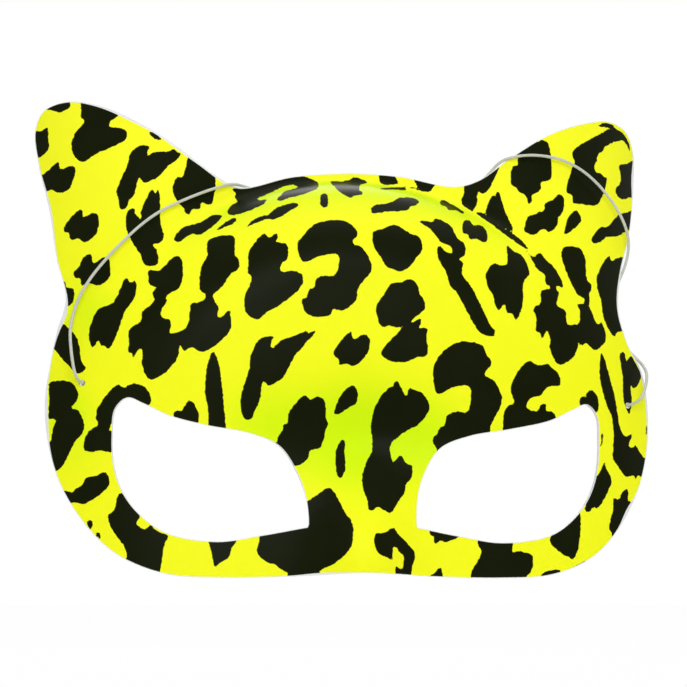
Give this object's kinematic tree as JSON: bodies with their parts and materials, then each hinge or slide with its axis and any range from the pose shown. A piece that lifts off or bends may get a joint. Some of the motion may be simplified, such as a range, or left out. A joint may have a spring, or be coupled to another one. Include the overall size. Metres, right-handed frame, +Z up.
{
  "type": "cat half mask",
  "caption": "Moulded plastic cat half mask with ears, almond eye openings, a domed forehead, a leopard-spot print and a thin elastic head cord knotted behind the cheeks.",
  "frame": {"origin": "on the back of the sheet at the middle of the nose bridge, where the mask sits on its wearer", "axes": "upright as worn: +Z up, the printed front faces -Y, +X to the right of a person who looks at the front"},
  "size_m": [0.2097, 0.0558, 0.1588],
  "materials": {
    "printed_sheet": "satin, printed with black leopard spots on the front, plain white behind and on the cut edge",
    "elastic": "satin"
  },
  "bodies": {
    "root": {"mask_shell": "printed_sheet", "elastic_cord": "elastic", "left_knot": "elastic", "right_knot": "elastic"}
  },
  "joints": []
}
